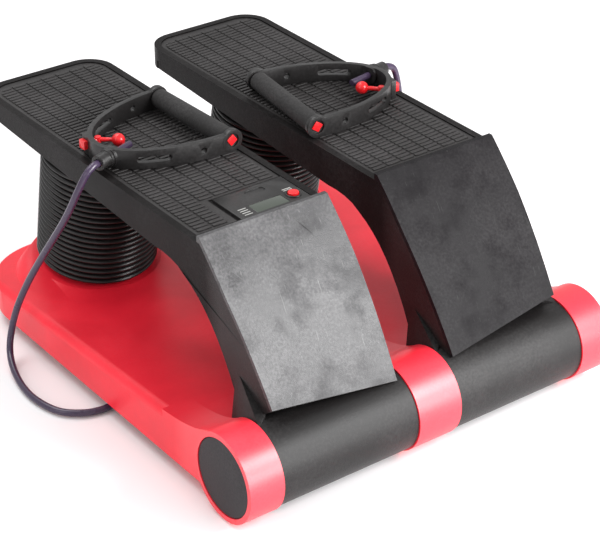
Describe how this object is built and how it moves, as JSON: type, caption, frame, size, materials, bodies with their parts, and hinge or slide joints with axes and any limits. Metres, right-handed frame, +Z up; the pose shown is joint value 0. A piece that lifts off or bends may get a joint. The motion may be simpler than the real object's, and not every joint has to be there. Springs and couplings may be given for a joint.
{
  "type": "stepper",
  "caption": "Twin-pedal air stepper: hinged barred treads on a moulded base, each carried by a ribbed air bellows, with pull handles on elastic bands.",
  "frame": {"origin": "middle of the footprint of the machine without its bands, on the floor", "axes": "+Z up, the hinge shaft lies along X at the front, -Y is the side the user faces, +X is the right pedal"},
  "size_m": [0.4804, 0.502, 0.2323],
  "materials": {
    "red_body": "satin moulded red plastic",
    "black_body": "fine-grained black moulding with scuffs",
    "cap_plastic": "matt dark grey moulding",
    "steel": "plated steel",
    "foot_rubber": "soft black rubber",
    "hose_rubber": "smooth black hose",
    "fitting_plastic": "plain black moulding",
    "bellows_rubber": "satin black rubber folds",
    "tread_rubber": "barred black rubber mat",
    "bush_plastic": "natural nylon",
    "computer_plastic": "matt black moulding",
    "lens": "clear display window",
    "display": "grey-green reflective display",
    "board": "green solder mask",
    "red_trim": "glossy red moulding",
    "handle_plastic": "satin black moulding",
    "grip_foam": "fine black foam",
    "band_latex": "satin dark violet latex tube"
  },
  "bodies": {
    "base": {"base_shell": "red_body", "hinge_barrels": "red_body", "left_end_cap": "cap_plastic", "right_end_cap": "cap_plastic", "hinge_shaft": "steel", "shaft_nuts": "steel", "rubber_feet": "foot_rubber", "foot_screws": "steel", "air_hose": "hose_rubber", "air_fittings": "fitting_plastic", "left_band_anchor": "fitting_plastic", "right_band_anchor": "fitting_plastic", "anchor_screws": "steel", "left_bellows": "bellows_rubber", "right_bellows": "bellows_rubber", "left_band_lower": "band_latex", "right_band_lower": "band_latex"},
    "left_pedal": {"left_pedal_shell": "black_body", "left_front_plate": "black_body", "left_tread_mat": "tread_rubber", "left_bellows_plate": "fitting_plastic", "left_plate_screws": "steel", "left_hinge_bushes": "bush_plastic", "computer_housing": "computer_plastic", "display_lens": "lens", "display_panel": "display", "circuit_board": "board", "button_cell": "steel", "step_switch": "fitting_plastic", "computer_cover": "computer_plastic", "cover_screws": "steel"},
    "right_pedal": {"right_pedal_shell": "black_body", "right_front_plate": "black_body", "right_tread_mat": "tread_rubber", "right_bellows_plate": "fitting_plastic", "right_plate_screws": "steel", "right_hinge_bushes": "bush_plastic"},
    "mode_button": {"mode_button": "red_trim"},
    "left_handle": {"left_handle_frame": "handle_plastic", "left_grip_core": "red_trim", "left_grip_foam": "grip_foam", "left_band_peg": "red_trim", "left_band_gland": "handle_plastic", "left_band_end": "band_latex", "left_band_upper": "band_latex"},
    "right_handle": {"right_handle_frame": "handle_plastic", "right_grip_core": "red_trim", "right_grip_foam": "grip_foam", "right_band_peg": "red_trim", "right_band_gland": "handle_plastic", "right_band_end": "band_latex", "right_band_upper": "band_latex"}
  },
  "joints": [
    {"name": "left_pedal_hinge", "type": "hinge", "parent": "base", "child": "left_pedal", "pos_m": [0, -0.21, 0.0435], "axis": [1, 0, 0], "range_deg": [-7, 7], "stiffness_Nm_per_rad": 25, "deforming": ["left_bellows", "left_band_lower"]},
    {"name": "right_pedal_hinge", "type": "hinge", "parent": "base", "child": "right_pedal", "pos_m": [0, -0.21, 0.0435], "axis": [1, 0, 0], "range_deg": [-7, 7], "stiffness_Nm_per_rad": 25, "deforming": ["right_bellows", "right_band_lower"]},
    {"name": "left_handle_lift", "type": "slide", "parent": "left_pedal", "child": "left_handle", "axis": [0, 0, 1], "range_m": [0, 0.4], "stiffness_N_per_m": 40, "deforming": ["left_band_upper"]},
    {"name": "right_handle_lift", "type": "slide", "parent": "right_pedal", "child": "right_handle", "axis": [0, 0, 1], "range_m": [0, 0.4], "stiffness_N_per_m": 40, "deforming": ["right_band_upper"]},
    {"name": "mode_button_press", "type": "slide", "parent": "left_pedal", "child": "mode_button", "axis": [0, 0, -1], "range_m": [0, 0.0015], "stiffness_N_per_m": 300, "springref_m": -0.001}
  ],
  "couplings": [
    {"joint": "right_pedal_hinge", "follows": "left_pedal_hinge", "ratio": -1}
  ]
}
